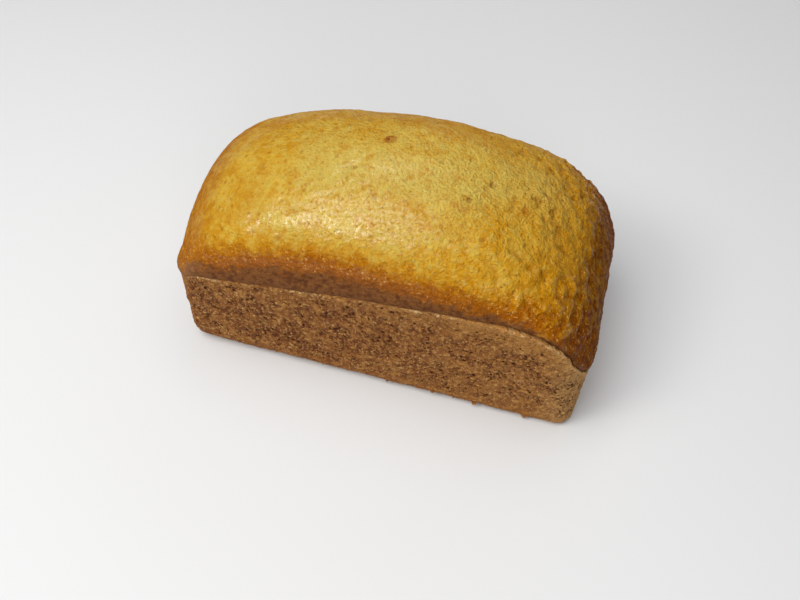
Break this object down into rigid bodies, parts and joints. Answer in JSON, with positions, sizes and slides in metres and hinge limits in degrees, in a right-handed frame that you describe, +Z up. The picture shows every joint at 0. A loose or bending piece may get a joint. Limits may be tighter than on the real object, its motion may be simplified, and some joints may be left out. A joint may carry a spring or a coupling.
{
  "type": "banana bread loaf",
  "caption": "Whole uncut banana bread loaf with straight tin-shaped sides, a ledge where it rose clear of the tin and a domed golden crust.",
  "frame": {"origin": "centre of the loaf's box on the plane it stands on, at the height of its flat base", "axes": "+X along the loaf's length towards the end where the ledge dips lowest, +Z up out of the domed crust, long sides facing -Y and +Y with the trough in the crust nearer to -Y"},
  "size_m": [0.2068, 0.1096, 0.1124],
  "materials": {
    "baked_loaf": "golden baked crust over brown open crumb, matt with a faint grease sheen"
  },
  "bodies": {
    "root": {"banana_loaf": "baked_loaf"}
  },
  "joints": []
}
